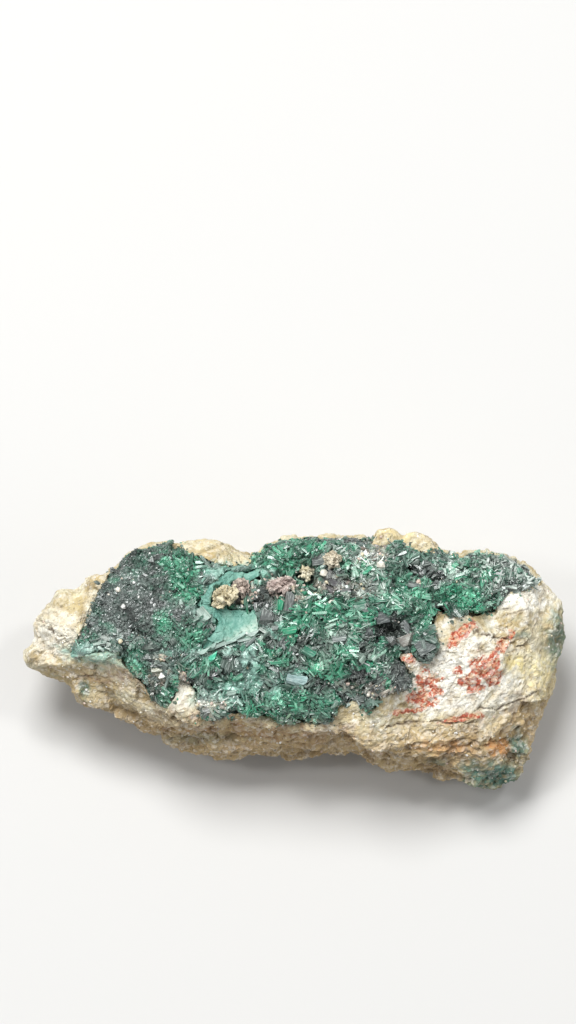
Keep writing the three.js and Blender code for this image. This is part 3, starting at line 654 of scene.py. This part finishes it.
def crystalMaterial(name, grain, depth, glintPaint, striped=False):
    # size of the grain and depth of the bump in millimetres, then the strength of the pale flecks, which
    # are painted glints
    shader = Shader(name)
    tint = shader.attribute("tint", "Color")
    fine = shader.noise(grain, 4, 0.7)
    flecks = shader.noise(grain * 0.5, 2)
    colour = shader.darken(tint, fine.between(0.5, 0.68) * 0.6, tints["shadow"])
    # painted glints: small pale flecks mixed into the colour
    colour = shader.mix(flecks.between(0.6, 0.72) * glintPaint, colour, tints["pale"])
    rough = 0.16 + fine * 0.24
    height = shader.noise(grain * 0.6, 3)
    if striped:  # along each crystal
        own = shader.attribute("own", "Vector")
        stretched = shader.node("ShaderNodeMapping", values={"Vector": own, "Scale": (9, 9, 0.7)})
        stripes = shader.node("ShaderNodeTexNoise", values={"Vector": stretched, "Scale": 1.0, "Detail": 3})
        colour = shader.darken(colour, stripes.between(0.5, 0.66) * 0.55, tints["stripe"])
        colour = shader.mix((1 - stripes).between(0.52, 0.66) * 0.38, colour, tints["pale"])
        height = height * 0.5 + stripes
    else:
        rough = rough + shader.attribute("stone") * 0.55
    bump = shader.bump(height, depth, 0.7)
    return shader.finish(Base_Color=colour, Roughness=rough, Normal=bump, IOR=1.74)


bedPiece, bedNormals = makeBed()
bedFinish = crystalMaterial("crystal_bed", grain=0.4, depth=0.06, glintPaint=0.3)
addPiece(bedPiece, "antlerite", bedFinish, "antlerite_crust")
bedTree = treeOf(bedPiece)
print("crystal bed dressed")


# The smooth sea-green plate
plate = {
    "voxel": 0.17, "smoothing": 2, "facets": [(2.8, 0.12, 0.12), (1.0, 0.16, 0.04)],
    "sunk": 1.2,  # where it runs out under the crystals
    "light": (0.22, 0.43, 0.35), "middle": (0.12, 0.31, 0.25), "dark": (0.1, 0.25, 0.2),
    "milk": (0.52, 0.63, 0.54), "ochre": (0.55, 0.47, 0.22),
}


def makePlate():
    made, world, normals, points = dressedCopy("turquoise_vein", "turquoise_plate", plate)
    masks = masksAt(points, ["aqua", "yellow"])
    height = 0.12 * softNoise(points, 0.8, 2, 2.2)
    height -= plate["sunk"] * (1 - between(masks["aqua"], 0.05, 0.45))
    for index, layer in enumerate(plate["facets"]):
        height += facets(points, *layer, salts["plate"] + 9 * index)[0]
    pushOut(made.data, world, normals, height)
    low = points[:, 0] * 0.53 - points[:, 1] * 0.85 + 0.8 * softNoise(points, 1.2, 2)
    writeMask(made.data, "milk", between(low, -9.6, -8.2))
    writeMask(made.data, "ochre", masks["yellow"])
    return made


def plateMaterial():
    shader = Shader("sea_green_plate")
    cloud = shader.noise(2.2, 4, 0.6, 0.4)
    fine = shader.noise(0.5, 4, 0.65)
    colour = shader.layered(shader.mix(cloud.between(0.35, 0.65), plate["middle"], plate["light"]), [
        (shader.attribute("milk") * fine.between(0.3, 0.55) * 0.8, plate["milk"]),
        (shader.attribute("ochre") * fine.between(0.4, 0.6) * 0.6, plate["ochre"]),
        (fine.between(0.6, 0.72) * 0.5, plate["dark"])])
    bump = shader.bump(fine + shader.noise(0.2, 2) * 0.4, 0.06, 0.7)
    return shader.finish(Base_Color=colour, Roughness=0.42 + fine * 0.2, Normal=bump)


platePiece = makePlate()
addPiece(platePiece, "turquoise", plateMaterial(), "turquoise_vein")
plateTree = treeOf(platePiece)
print("plate dressed")


def shapeOf(work):
    # points and faces of a small shape that is repeated
    bmesh.ops.recalc_face_normals(work, faces=work.faces)
    corners = np.array([v.co for v in work.verts])
    work.verts.index_update()
    polygons = [[v.index for v in f.verts] for f in work.faces]
    work.free()
    return corners, polygons


def prismShape(sides, cuts, taper=1.0):
    # a crystal one unit high with slanting ends
    work = bmesh.new()
    turn = Matrix.Rotation(math.pi / sides, 4, "Z")  # a flat side, not a corner, faces out
    radius = 0.5 / math.cos(math.pi / sides)
    bmesh.ops.create_cone(work, cap_ends=True, segments=sides, radius1=radius, radius2=radius * taper,
                          depth=1, matrix=turn)
    for place, direction in cuts:
        everything = work.verts[:] + work.edges[:] + work.faces[:]
        cut = bmesh.ops.bisect_plane(work, geom=everything, plane_co=place, plane_no=direction,
                                     clear_outer=True)
        opened = [item for item in cut["geom_cut"] if isinstance(item, bmesh.types.BMEdge)]
        bmesh.ops.edgeloop_fill(work, edges=opened)
    return shapeOf(work)


def joinedCopies(name, shapes, places, axes, sides, sizes, colours, picks, tipLight=0.0):
    # one mesh of many small shapes; axes are their long directions and sides their widths, and the last
    # argument is painted light and shade, how much paler their tops and darker their bases are
    third = np.cross(axes, sides)
    allPoints, allTints, allOwn, loops, starts = [], [], [], [], []
    first = 0
    loopStart = 0
    for index, (corners, polygons) in enumerate(shapes):
        chosen = np.flatnonzero(picks % len(shapes) == index)
        scaled = corners[None] * sizes[chosen][:, None]
        basis = np.stack([sides[chosen], third[chosen] * -1, axes[chosen]], 1)
        points = places[chosen][:, None] + np.einsum("nki,nij->nkj", scaled, basis)
        flat = np.concatenate(polygons)
        counts = np.array([len(p) for p in polygons])
        copies = len(chosen)
        allPoints.append(points.reshape(-1, 3))
        allOwn.append((scaled / mm + 10 * picks[chosen][:, None, None]).reshape(-1, 3))
        # painted light and shade: paler towards the top of each copy, darker at its base
        paler = 1 + tipLight * corners[:, 2]
        allTints.append((colours[chosen][:, None] * paler[None, :, None]).reshape(-1, 3))
        loops.append((first + flat[None] + np.arange(copies)[:, None] * len(corners)).ravel())
        begins = np.cumsum(counts) - counts
        starts.append((loopStart + begins[None] + np.arange(copies)[:, None] * len(flat)).ravel())
        first += copies * len(corners)
        loopStart += copies * len(flat)
    mesh = bpy.data.meshes.new(name)
    points = np.concatenate(allPoints)
    mesh.vertices.add(len(points))
    mesh.loops.add(loopStart)
    startList = np.concatenate(starts)
    mesh.polygons.add(len(startList))
    mesh.vertices.foreach_set("co", points.ravel())
    mesh.loops.foreach_set("vertex_index", np.concatenate(loops).astype(np.int32))
    mesh.polygons.foreach_set("loop_start", startList.astype(np.int32))
    mesh.update(calc_edges=True)
    mesh.validate()
    mesh.shade_flat()
    writeTint(mesh, np.concatenate(allTints))
    own = mesh.attributes.new("own", "FLOAT_VECTOR", "POINT")
    own.data.foreach_set("vector", np.concatenate(allOwn).astype(np.float32).ravel())
    return addObject(name, mesh)


def unit(vectors):
    return vectors / np.maximum(np.linalg.norm(vectors, axis=1), 1e-9)[:, None]


def topPlace(x, y):
    start = fromFace(x, y, 40)
    way = turnFromFace(0, 0, -1)
    hits = [tree.ray_cast(start, way) for tree in (bedTree, rockTree, plateTree)]
    hits = [hit for hit in hits if hit[0] is not None]
    return min(hits, key=lambda hit: hit[3])[:2]


def samplesOn(made, normals, count, weigh, onlyFront=1):
    # random places on a piece where nothing of the rock stands close before them, in metres, and the
    # way out of the surface there
    lift = 0.02 * mm
    ahead = 2.5 * mm
    mesh = made.data
    mesh.calc_loop_triangles()
    corners = np.empty(len(mesh.loop_triangles) * 3, dtype=np.int32)
    mesh.loop_triangles.foreach_get("vertices", corners)
    corners = corners.reshape(-1, 3)
    points = readPoints(mesh)[0]
    a, b, c = (points[corners[:, k]] for k in range(3))
    area = np.linalg.norm(np.cross(b - a, c - a), axis=1)
    middles = toFace((a + b + c) / 3)
    weight = area * weigh(middles) * (1 - veneerAt(middles) * onlyFront)
    chosen = random.choice(len(corners), count, p=weight / weight.sum())
    shares = random.dirichlet((1, 1, 1), count)
    places = (points[corners[chosen]] * shares[:, :, None]).sum(1)
    out = unit(normals[corners[chosen]].mean(1))
    clear = np.array([rockTree.ray_cast(Vector(p) + Vector(n) * lift, Vector(n), ahead)[0] is None
                      for p, n in zip(places, out)])
    return places[clear], out[clear]


def nearness(tree, points, reach):
    # 1 on the other piece, 0 where it is a reach away or more; all in face millimetres
    away = [tree.find_nearest(fromFace(*p), reach * mm)[3] for p in points.tolist()]
    return np.array([0 if gap is None else 1 - gap / mm / reach for gap in away])


def placePicked(places, out, axes, sides, scale, colours):
    # the first blocks go to the listed places
    for number, (x, y, width, length, turn, tint) in enumerate(picked):
        along = turnFromFace(math.cos(math.radians(turn)), math.sin(math.radians(turn)), 0.08)
        up = (turnFromFace(0, 0, 1) + 0.25 * Vector(out[number])).normalized()
        places[number] = topPlace(x, y)[0]
        axes[number] = along.normalized()
        sides[number] = along.cross(up).normalized()
        out[number] = up
        scale[number] = (width, blocks["pickedThickness"], length)
        colours[number] = tint


def grow(name, shapes, samples, settings):
    # crystals at the sampled places; neighbours in one bundle lie nearly the same way
    places, out = samples
    points = toFace(places)
    salt = salts[name]
    owner = nearestCells(points, settings["bundle"], salt)[0]
    wild = cellRandoms(owner, salt + 10) * 2 - 1
    wild = unit(wild + settings["spread"] * random.normal(size=places.shape))
    flat = unit(wild - (wild * out).sum(1)[:, None] * out)
    least, most = settings["lean"]
    rise = least + (most - least) * cellRandom(owner, salt + 14)
    rise += 0.15 * random.normal(size=len(places))
    # on open edges they lie down and are shorter
    edgeOn = between(np.linalg.norm(turnToFace(out)[:, :2], axis=1), 0.35, 0.85)
    rise *= 1 - edgeOn
    axes = unit(flat * np.cos(rise)[:, None] + out * np.sin(rise)[:, None])
    turned = out + 0.5 * (cellRandoms(owner, salt + 30) * 2 - 1) + 0.12 * random.normal(size=places.shape)
    sides = unit(np.cross(axes, turned))
    low, high = np.array(settings["sizes"])
    scale = low + (high - low) * random.random((len(places), 1)) ** 1.6
    scale = scale * (0.8 + 0.4 * random.random(places.shape))
    scale[:, 2] *= 1 - 0.5 * edgeOn
    dice = 0.8 * cellRandoms(owner, salt + 20) + 0.2 * random.random(places.shape)
    colours = crystalTints(points, masksAt(points, bedRegions), dice, settings["frosting"])
    colours *= 0.86 + 0.26 * random.random((len(places), 1))
    if name == "crystal_blocks":
        placePicked(places, out, axes, sides, scale, colours)
    centres = places + (axes * (scale[:, 2:] * (0.5 - settings["sink"])) + out * scale[:, 1:2] * 0.1) * mm
    colours = np.clip(colours, 0, 0.9)
    picks = random.integers(0, 99, len(places))
    return joinedCopies(name, shapes, centres, axes, sides, scale * mm, colours, picks, tipLight=0.35)


# Sides, then the place and direction of each slanting cut, then how much narrower the top is
lathShapes = [
    prismShape(4, [((0, 0, 0.32), (0.5, 0, 0.86)), ((0, 0, 0.36), (-0.7, 0.1, 0.7))]),
    prismShape(5, [((0, 0, 0.35), (0.3, 0.45, 0.84))]),
    prismShape(4, [((0, 0, 0.3), (0.1, -0.6, 0.8))], 0.8)]
blockShapes = [
    prismShape(4, [((0, 0, 0.3), (0.3, 0.1, 0.9)), ((0, 0, -0.35), (0.2, 0.3, -0.9))]),
    prismShape(4, [((0, 0, 0.3), (-0.55, 0.1, 0.8)), ((0, 0.3, 0), (0.1, 0.9, 0.2))]),
    prismShape(6, [((0, 0, 0.25), (0.3, -0.4, 0.86))])]
stubShapes = [
    prismShape(6, [((0, 0, 0.2), (0.25, 0.1, 0.96))]),
    prismShape(5, [((0, 0, 0.15), (-0.3, 0.2, 0.9))]),
    prismShape(4, [((0, 0, 0.25), (0.3, -0.3, 0.9))])]

# Sizes are the smallest and largest width, thickness and length. Lean is how far the crystals rise
# from the surface, in radians, and sink is the share of their length that is under it.
laths = {
    "count": 10500, "sizes": ((0.18, 0.15, 0.6), (0.46, 0.3, 2.0)), "lean": (-0.15, 0.16),
    "bundle": 2.4, "spread": 0.25, "sink": 0.22, "frosting": 0.7}
needles = {
    "count": 6500, "sizes": ((0.08, 0.07, 0.5), (0.18, 0.14, 1.9)), "lean": (0.0, 0.25),
    "bundle": 1.2, "spread": 0.5, "sink": 0.1, "frosting": 1.15}
blocks = {
    "count": 1300, "sizes": ((0.4, 0.45, 0.6), (0.95, 0.7, 1.7)), "lean": (-0.1, 0.3),
    "bundle": 2.2, "spread": 0.2, "sink": 0.35, "frosting": 0.7, "pickedThickness": 0.9}
stubs = {
    "count": 8500, "sizes": ((0.2, 0.18, 0.2), (0.46, 0.38, 0.32)), "lean": (1.35, 1.75),
    "bundle": 0.9, "spread": 0.5, "sink": 0.3, "frosting": 0.7}
rim = {
    "count": 2600, "sizes": ((0.16, 0.15, 0.2), (0.5, 0.38, 0.9)), "lean": (-0.1, 0.6),
    "bundle": 1.2, "spread": 0.4, "sink": 0.25, "frosting": 0.7, "reach": 1.5}
# Listed blocks: x, y, width, length, turn in degrees, tint
picked = [
    (5.3, 12.5, 1.0, 3.8, -20, (0.1, 0.095, 0.1)), (5.0, 11.4, 0.8, 3.2, -24, (0.13, 0.12, 0.125)),
    (7, 11, 0.7, 2.6, 15, (0.15, 0.15, 0.15)), (12.9, 7, 1.8, 2, 10, (0.09, 0.1, 0.1)),
    (16.7, 5.6, 1.3, 2.4, -50, (0.15, 0.16, 0.16)), (16, 3.1, 1.6, 3.9, 22, (0.19, 0.175, 0.15)),
    (19.4, 2.4, 2.2, 2.8, 30, (0.13, 0.145, 0.14)), (11, 4.5, 1.1, 1.9, 70, (0.06, 0.07, 0.07)),
    (-4.7, 6.7, 2, 2.8, 75, (0.12, 0.13, 0.125)), (-2.5, 8.7, 1.1, 1.6, 80, (0.02, 0.3, 0.15)),
    (-1.4, 4.8, 1.2, 2.2, 10, (0.02, 0.28, 0.14)), (-0.5, -2.5, 1.5, 3.2, -15, (0.3, 0.43, 0.42)),
    (3.3, 16, 1.8, 2.8, 8, (0.14, 0.155, 0.15)), (9.8, 18.1, 1, 2.4, -25, (0.09, 0.13, 0.12)),
    (-1.1, 9, 1.5, 3, 80, (0.14, 0.15, 0.145)), (9.1, 8.4, 1.6, 2.6, 12, (0.05, 0.17, 0.11)),
    (6.2, 3.6, 1.1, 2.2, 5, (0.16, 0.19, 0.18)), (-13.5, 0.5, 0.8, 3.2, 35, (0.08, 0.62, 0.38)),
    (-12.4, 5.9, 0.8, 1.4, 60, (0.03, 0.3, 0.16)), (-14.8, 7.6, 1.7, 2.2, -50, (0.36, 0.47, 0.41)),
    (-22.5, 2.7, 1.2, 4.2, 5, (0.17, 0.21, 0.18)), (18, 11.9, 1.1, 2.4, -12, (0.1, 0.12, 0.115)),
    (-7.4, 4.3, 0.6, 3.2, 17, (0.52, 0.64, 0.58)), (-9.6, 3.7, 0.5, 3.0, 30, (0.42, 0.58, 0.51)),
    (-11.6, 2.9, 0.6, 3.6, 20, (0.46, 0.6, 0.53)), (-13.4, 2.4, 0.5, 2.6, 34, (0.36, 0.52, 0.45)),
    (-15, 1.5, 0.6, 3.2, 20, (0.42, 0.57, 0.5)), (-5.0, 4.8, 0.45, 2.8, -32, (0.56, 0.64, 0.58)),
    (-12.2, 2.0, 0.4, 2.4, 8, (0.5, 0.62, 0.56)), (-8.4, 3.5, 0.4, 2.4, 12, (0.56, 0.68, 0.62)),
    (-7.3, 3, 0.7, 2, 40, (0.12, 0.15, 0.14)), (1.6, 1.8, 1.2, 2.1, -30, (0.05, 0.22, 0.14))]

crystalFinish = crystalMaterial("grown_crystals", grain=0.3, depth=0.03, glintPaint=0.2, striped=True)


def makeCrystals():
    def bareOf(points, names):
        masks = masksAt(points, names)
        return 1 - 0.93 * np.clip(1.3 * sum(masks.values()), 0, 1)

    def lathWeight(points):
        return (1.02 - onLobe(points)) * bareOf(points, ["aqua", "rosy", "black", "cream"])

    def needleWeight(points):
        return (0.07 + masksAt(points, ["frost"])["frost"]) * (1.04 - onLobe(points))

    def blockWeight(points):
        shown = 0.3 + masksAt(points, ["grey"])["grey"]
        bare = bareOf(points, ["aqua", "rosy", "emerald", "frost", "black"])
        return shown * (1.02 - onLobe(points)) * bare

    def stubWeight(points):
        return (0.15 + onLobe(points)) * bareOf(points, ["aqua", "cream"])

    for name, settings, shapes, weigh in [
            ("crystal_laths", laths, lathShapes, lathWeight),
            ("crystal_needles", needles, lathShapes, needleWeight),
            ("crystal_blocks", blocks, blockShapes, blockWeight),
            ("crystal_stubs", stubs, stubShapes, stubWeight)]:
        samples = samplesOn(bedPiece, bedNormals, settings["count"], weigh)
        addPiece(grow(name, shapes, samples, settings), "antlerite", crystalFinish)

    def rimWeight(points):
        # stray crystals on the rock, close to where the crust ends
        clumped = between(softNoise(points, 1.6, 2, 20.3), -0.05, 0.2)
        return nearness(bedTree, points, rim["reach"]) ** 2 * clumped * between(points[:, 2], -5, -2)

    samples = samplesOn(rockPiece, rockNormals, rim["count"], rimWeight, 0)
    addPiece(grow("crystal_rim", stubShapes, samples, rim), "antlerite", crystalFinish)


makeCrystals()
print("crystals grown")


# Loose-looking pale pieces grown into the crystals: name, own colour, second colour
fragments = {
    "pale_fragment_left": ("cream_piece_left", (0.48, 0.42, 0.27), (0.74, 0.67, 0.48)),
    "pale_fragment_middle": ("rosy_piece_left", (0.30, 0.24, 0.20), (0.58, 0.49, 0.42)),
    "pink_fragment": ("rosy_piece_middle", (0.38, 0.30, 0.27), (0.66, 0.56, 0.50)),
    "cream_fragment": ("cream_piece_middle", (0.60, 0.53, 0.35), (0.76, 0.72, 0.56)),
    "upper_fragment": ("cream_piece_upper", (0.44, 0.38, 0.27), (0.74, 0.68, 0.54)),
}
fragmentMesh = {"voxel": 0.13, "smoothing": 2, "facets": (1.2, 0.5, 0.3), "smallFacets": (0.55, 0.5, 0.12)}
fragmentDirt = (0.13, 0.11, 0.09)


def fragmentMaterial(name, own, second):
    shader = Shader(name)
    fine = shader.noise(0.5, 4, 0.7)
    colour = shader.mix(shader.noise(1.1, 3).between(0.4, 0.6), own, second)
    colour = shader.mix(fine.between(0.53, 0.64) * 0.7, colour, fragmentDirt)
    bump = shader.bump(fine + shader.cells(0.35) * 0.5, 0.14, 1.0)
    return shader.finish(Base_Color=colour, Roughness=0.7 + fine * 0.3, Normal=bump)


def makeFragments():
    for index, (node, (name, own, second)) in enumerate(fragments.items()):
        made, world, normals, points = dressedCopy(node, name, fragmentMesh)
        salt = salts["fragments"] + 20 * index
        level, gap = facets(points, *fragmentMesh["facets"], salt)
        small = facets(points, *fragmentMesh["smallFacets"], salt + 10)[0]
        height = level + small + 0.2 * softNoise(points, 0.6, 2, index) - 0.3 * between(0.2 - gap, 0, 0.2)
        pushOut(made.data, world, normals, height - 0.15)
        addPiece(made, "pale_fragment", fragmentMaterial(name, own, second), node)


makeFragments()
print("fragments dressed")


# Small pale grains
grains = {
    # place and size
    "picked": [
        ((-25.1, 12.3), 0.5), ((-29.1, 10.5), 0.5), ((-27.6, 11.3), 0.9), ((-24.5, 10.1), 0.45),
        ((-26.6, 8.7), 1.1), ((-22.8, 16.8), 0.4), ((-27.3, 3.3), 0.7), ((-20.6, -3.3), 0.5),
        ((-21.7, -3.3), 0.45), ((-20.9, 0.7), 1.2), ((5.3, 9.1), 1.2), ((18.6, 12.4), 1.0),
        ((7.8, -3.3), 0.7), ((3.1, 10.4), 1.2), ((4.2, 13.9), 1.3), ((12.9, 15.3), 1.4),
        ((1.4, 7.8), 0.5), ((-7.8, 4.5), 0.6)],
    # how many: thinly on the crystals, round the pale pieces, on the rock, along the seam behind
    "scattered": 300, "clustered": 900, "onRock": 1500, "seam": 1400, "seamReach": 0.55,
    # smallest, largest and how rare the large ones are
    "sizes": (0.1, 0.45, 2.5), "clusterSizes": (0.2, 0.75, 1.8), "seamSizes": (0.3, 1.0, 1.5),
    "tints": [(0.80, 0.76, 0.66), (0.74, 0.66, 0.46), (0.66, 0.52, 0.44), (0.84, 0.84, 0.80)],
    "dirt": (0.16, 0.14, 0.12), "stain": (0.45, 0.38, 0.28),
}


def heightOf(points):
    # of places given in the face's frame, above the floor, in millimetres
    return points[:, 1] * leanSin + points[:, 2] * leanCos + face["origin"][2]


def seamWeight(tree):
    # close to the other piece, behind and above the crust
    def weigh(points):
        behind = np.maximum(between(-points[:, 2], 0.5, 2), between(points[:, 1], 10, 12))
        raised = between(heightOf(points), 1.5, 3)
        return nearness(tree, points, grains["seamReach"]) * behind * raised + 1e-9

    return weigh


def clusterWeight(points):
    return sum(masksAt(points, ["rosy", "cream"]).values()) ** 2 + 1e-6


def rockWeight(points):
    return (between(points[:, 2], -8, 0) + 0.2) * between(heightOf(points), 1, 2.5)


def randomSizes(limits, count):
    low, high, rarity = limits
    return low + (high - low) * random.random(count) ** rarity


def grainShape():
    work = bmesh.new()
    bmesh.ops.create_icosphere(work, subdivisions=1, radius=0.5)
    for vertex in work.verts:
        vertex.co *= random.uniform(0.8, 1.15)
    return shapeOf(work)


def makeGrains():
    onFace = [np.array(part) for part in zip(*(topPlace(*place) for place, size in grains["picked"]))]
    onBed = samplesOn(bedPiece, bedNormals, grains["scattered"], lambda points: np.ones(len(points)))
    clusters = samplesOn(bedPiece, bedNormals, grains["clustered"], clusterWeight)
    onRock = samplesOn(rockPiece, rockNormals, grains["onRock"], rockWeight, 0)
    seamRock = samplesOn(rockPiece, rockNormals, grains["seam"], seamWeight(bedTree), 0)
    seamBed = samplesOn(bedPiece, bedNormals, grains["seam"], seamWeight(rockTree), 0)
    groups = [onFace, clusters, onBed, onRock, seamRock, seamBed]
    places, out = (np.concatenate(parts) for parts in zip(*groups))
    loose = randomSizes(grains["sizes"], len(onBed[0]) + len(onRock[0]))
    packed = randomSizes(grains["clusterSizes"], len(clusters[0]))
    crumbs = randomSizes(grains["seamSizes"], len(seamRock[0]) + len(seamBed[0]))
    size = np.concatenate([[size for place, size in grains["picked"]], packed, loose, crumbs])
    scale = size[:, None] * (0.75 + 0.5 * random.random(places.shape))
    axes = unit(random.normal(size=places.shape))
    sides = unit(np.cross(axes, random.normal(size=places.shape)))
    palette = np.array(grains["tints"])
    colours = palette[random.integers(0, len(palette), len(places))]
    colours *= 0.85 + 0.15 * random.random((len(places), 1))
    # the clusters are dirtier, and the seam has the rock's own colours
    own = slice(len(onFace[0]), len(onFace[0]) + len(packed))
    darker = cellRandom(nearestCells(toFace(places[own]), 0.6, salts["dirt"])[0], salts["dirt"] + 1)
    colours[own] = blend(colours[own], grains["dirt"], between(darker, 0.45, 0.75) * 0.85)
    colours[-len(crumbs):] = stoneTints(random.random(len(crumbs)))
    centres = places + out * (size * 0.12 * mm)[:, None]
    shapes = [grainShape() for _ in range(4)]
    picks = random.integers(0, 99, len(places))
    made = joinedCopies("pale_grains", shapes, centres, axes, sides, scale * mm, colours, picks)
    shader = Shader("pale_grains")
    fine = shader.noise(0.3, 3)
    colour = shader.mix(fine.between(0.52, 0.7) * 0.4, shader.attribute("tint", "Color"), grains["stain"])
    bump = shader.bump(fine, 0.05, 0.6)
    grainFinish = shader.finish(Base_Color=colour, Roughness=0.35 + fine * 0.3, Normal=bump)
    addPiece(made, "pale_fragment", grainFinish)


makeGrains()
print("grains scattered")


# Floor, lights and surroundings
studio = {
    "floor": (0.60, 0.595, 0.58), "speckle": (0.6, 0.59, 0.57),
    "world": (0.80, 0.82, 0.85), "worldStrength": 0.32,
    # direction in the face's frame, distance, size and power of each soft light
    "lights": {
        "key": ((-0.25, 0.75, 1.0), 0.9, 0.45, 9.0), "fill": ((0.9, -0.2, 0.8), 1.0, 0.8, 1.6),
        "glintLeft": ((-0.7, 0.2, 0.9), 0.8, 0.12, 1.1), "glintRight": ((0.5, 0.5, 1.0), 0.8, 0.12, 1.1)},
}


def addStudio():
    work = bmesh.new()
    bmesh.ops.create_grid(work, x_segments=4, y_segments=4, size=3)
    mesh = bpy.data.meshes.new("floor")
    work.to_mesh(mesh)
    work.free()
    floor = addObject("floor", mesh)
    shader = Shader("pale_floor")
    colour = shader.mix(shader.noise(3, 3) * 0.06, studio["floor"], studio["speckle"])
    mesh.materials.append(shader.finish(Base_Color=colour, Roughness=0.85))
    for name, (way, away, size, power) in studio["lights"].items():
        data = bpy.data.lights.new(name, "AREA")
        data.shape = "DISK"
        data.size = size
        data.energy = power
        light = addObject(name, data)
        direction = turnFromFace(*way).normalized()
        light.location = fromFace(0, 0, 0) + direction * away
        light.rotation_euler = direction.to_track_quat("Z", "Y").to_euler()
    world = bpy.data.worlds.new("studio")
    world.use_nodes = True
    background = world.node_tree.nodes["Background"]
    background.inputs["Color"].default_value = (*studio["world"], 1)
    background.inputs["Strength"].default_value = studio["worldStrength"]
    bpy.context.scene.world = world


addStudio()
print("studio set")
